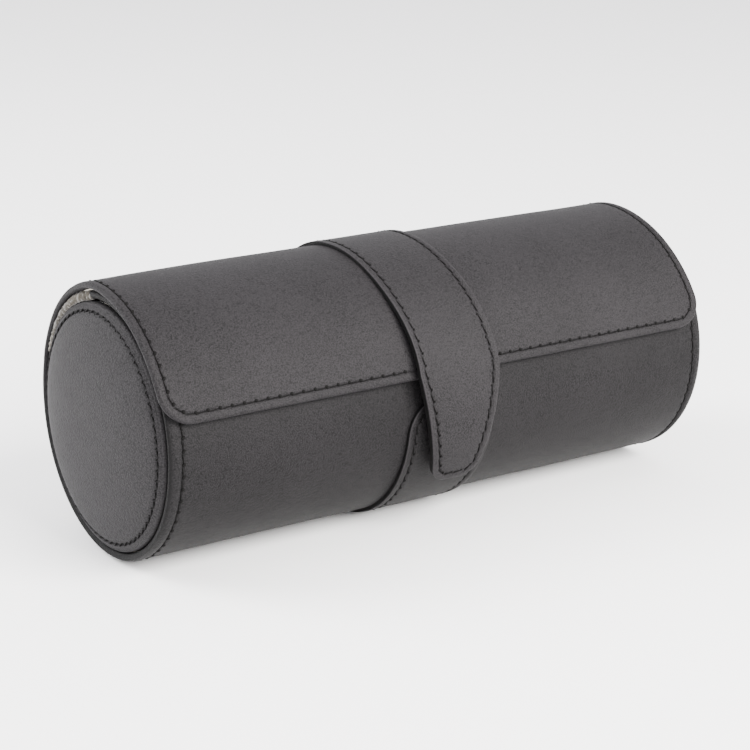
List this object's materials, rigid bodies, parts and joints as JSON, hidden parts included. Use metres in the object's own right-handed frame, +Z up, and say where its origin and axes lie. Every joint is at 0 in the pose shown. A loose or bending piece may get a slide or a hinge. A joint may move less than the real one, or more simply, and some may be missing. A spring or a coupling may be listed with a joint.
{
  "type": "watch travel case",
  "caption": "Cylindrical leather travel case for watches, with a wrap-around lid, a magnetic strap tab, padded ends and removable cushions.",
  "frame": {"origin": "on the floor under the tube's axis, halfway along the tube, at the flat underside of the belt", "axes": "+X along the tube to the right as seen from the front, -Y to the front where the tab closes, +Z up"},
  "size_m": [0.2132, 0.0891, 0.0885],
  "materials": {
    "leather": "satin",
    "board": "matte",
    "suede": "matte",
    "foam": "matte",
    "steel": "satin"
  },
  "bodies": {
    "case_body": {"wall_leather": "leather", "wall_board": "board", "wall_lining": "suede", "belt_leather": "leather", "belt_backing": "leather", "belt_keeper_plate": "steel", "left_end_cover": "leather", "left_end_pad": "foam", "left_end_board": "board", "left_end_lining": "suede", "right_end_cover": "leather", "right_end_pad": "foam", "right_end_board": "board", "right_end_lining": "suede", "left_divider_board": "board", "left_divider_suede": "suede", "right_divider_board": "board", "right_divider_suede": "suede"},
    "lid": {"lid_leather": "leather", "lid_board": "board", "lid_lining": "suede", "lid_strap": "leather", "lid_strap_backing": "leather"},
    "tab": {"tab_leather": "leather", "tab_backing": "leather", "tab_magnet": "steel"},
    "left_cushion": {"left_cushion_sleeve": "suede", "left_cushion_ends": "suede", "left_cushion_foam": "foam"},
    "middle_cushion": {"middle_cushion_sleeve": "suede", "middle_cushion_ends": "suede", "middle_cushion_foam": "foam"},
    "right_cushion": {"right_cushion_sleeve": "suede", "right_cushion_ends": "suede", "right_cushion_foam": "foam"}
  },
  "joints": [
    {"name": "lid_fold", "type": "hinge", "parent": "case_body", "child": "lid", "pos_m": [0, 0.04154, 0.05363], "axis": [-1, 0, 0], "range_deg": [0, 150]},
    {"name": "tab_fold", "type": "hinge", "parent": "lid", "child": "tab", "pos_m": [0, -0.04463, 0.05363], "axis": [-1, 0, 0], "range_deg": [0, 100]},
    {"name": "left_cushion_lift", "type": "slide", "parent": "case_body", "child": "left_cushion", "axis": [0, 0.6626, 0.749], "range_m": [0, 0.02]},
    {"name": "middle_cushion_lift", "type": "slide", "parent": "case_body", "child": "middle_cushion", "axis": [0, 0.6626, 0.749], "range_m": [0, 0.02]},
    {"name": "right_cushion_lift", "type": "slide", "parent": "case_body", "child": "right_cushion", "axis": [0, 0.6626, 0.749], "range_m": [0, 0.02]}
  ]
}
